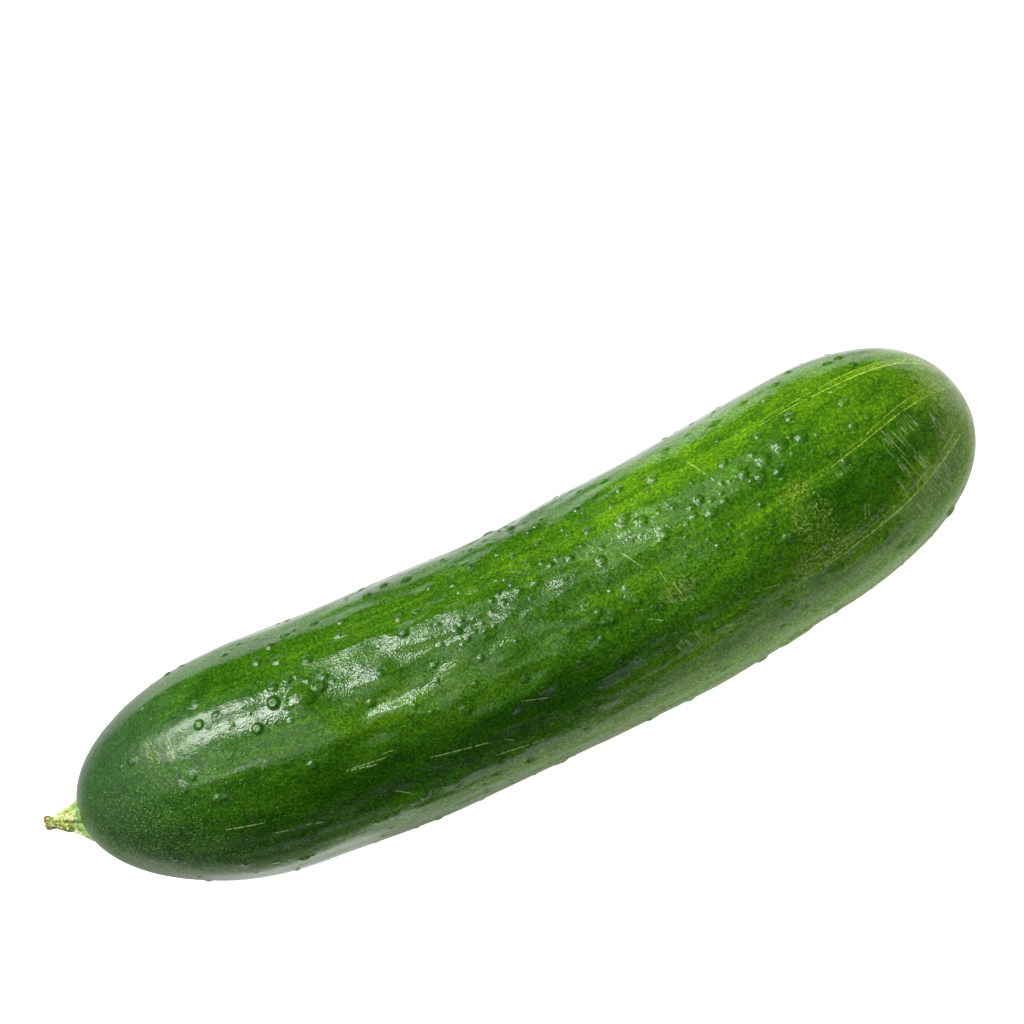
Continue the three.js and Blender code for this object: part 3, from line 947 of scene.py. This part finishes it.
def floorPaint(paint):
    seen = paint.node("ShaderNodeBsdfPrincipled", None, {
        "Base Color": studio["floorColor"],
        "Roughness": 0.9,
        "Emission Color": (1, 1, 1, 1),
        "Emission Strength": studio["floorGlow"],
    })
    place = paint.node("ShaderNodeTexCoord", None, None, "Object")
    scattered = paint.ray("Is Diffuse Ray")
    sheen = floorSheen(paint, paint.part(place, "X"), paint.part(place, "Y"))
    bright = sheen * (1.0 - scattered) + scattered * studio["bounce"]
    glow = paint.node("ShaderNodeEmission", None, {"Strength": bright})
    toCamera = paint.ray("Is Camera Ray")
    paint.finish(paint.node("ShaderNodeMixShader", None, {0: toCamera, 1: glow, 2: seen}))


def makeFloor():
    bm = bmesh.new()
    bmesh.ops.create_grid(bm, x_segments=2, y_segments=2, size=studio["floorSize"] / 2)
    mesh = bpy.data.meshes.new("floor")
    bm.to_mesh(mesh)
    bm.free()
    mesh.materials.append(paintedWith("white_floor", floorPaint))
    addObject("floor", mesh)


def turned(place, right, up, back):
    return Matrix.Translation(place) @ Matrix((right, up, back)).transposed().to_4x4()


def makeLights():
    target = Vector((0, 0, 0.02))
    for name, place, (width, height), power in studio["lights"]:
        light = bpy.data.lights.new(name, "AREA")
        light.shape = "RECTANGLE"
        light.size = width
        light.size_y = height
        light.energy = power
        back = (Vector(place) - target).normalized()
        right = Vector((0, 1, 0)).cross(back).normalized()
        addObject(name, light).matrix_world = turned(Vector(place), right, back.cross(right), back)


def makeWorld():
    # white behind everything, and for the fruit a dark room with pale walls beyond its two ends
    world = bpy.data.worlds.new("studio")
    bpy.context.scene.world = world
    paint = Paint(world)
    toward = paint.node("ShaderNodeTexCoord", None, None, "Generated")
    toEnd = paint.part(toward, "X")
    sideways = paint.smooth(paint.part(toward, "Y"), -0.05, -0.4, 1.0, 0.1)
    atStem, atBlossom = studio["endGlow"]
    strength = paint.smooth(toEnd, -0.7, -0.95, 0.0, atStem) * sideways
    strength = strength + paint.smooth(toEnd, 0.7, 0.95, 0.0, atBlossom)
    strength = strength + paint.ray("Is Diffuse Ray") * studio["softDome"] + studio["dome"]
    room = paint.node("ShaderNodeBackground", None, {"Strength": strength})
    white = paint.node("ShaderNodeBackground", None, {"Color": (1, 1, 1, 1)})
    surface = paint.node("ShaderNodeMixShader", None, {0: paint.ray("Is Camera Ray"), 1: room, 2: white})
    paint.finish(surface, "ShaderNodeOutputWorld")


view = {
    "elevation": 68.0,
    "roll": 25.85,  # how far the fruit's length rises to the right
    "lens": 130.0,
    "sensor": 36.0,
    "imageSize": 1024,
    "pixel": 0.1826,  # millimetres on the fruit for each pixel
    "middlePixel": (537.7, 640.8),  # where the fruit's middle is in the picture
}


def makeCamera():
    elevation, roll = math.radians(view["elevation"]), math.radians(view["roll"])
    back = Vector((0, -math.cos(elevation), math.sin(elevation)))
    levelRight = Vector((1, 0, 0))
    levelUp = back.cross(levelRight)
    right = levelRight * math.cos(roll) - levelUp * math.sin(roll)
    lift = levelRight * math.sin(roll) + levelUp * math.cos(roll)
    half = view["imageSize"] / 2
    offRight = (view["middlePixel"][0] - half) * view["pixel"]
    offDown = (view["middlePixel"][1] - half) * view["pixel"]
    target = Vector(body["middle"]) - right * offRight + lift * offDown
    distance = view["pixel"] * view["imageSize"] * view["lens"] / view["sensor"]
    camera = bpy.data.cameras.new("camera")
    camera.lens = view["lens"]
    camera.sensor_width = view["sensor"]
    camera.clip_start = 0.01
    holder = addObject("camera", camera)
    holder.matrix_world = turned((target + back * distance) * mm, right, lift, back)
    bpy.context.scene.camera = holder


makeFloor()
makeLights()
makeWorld()
makeCamera()
bpy.context.scene.view_settings.view_transform = "Standard"
print("floor, lights and camera in place")
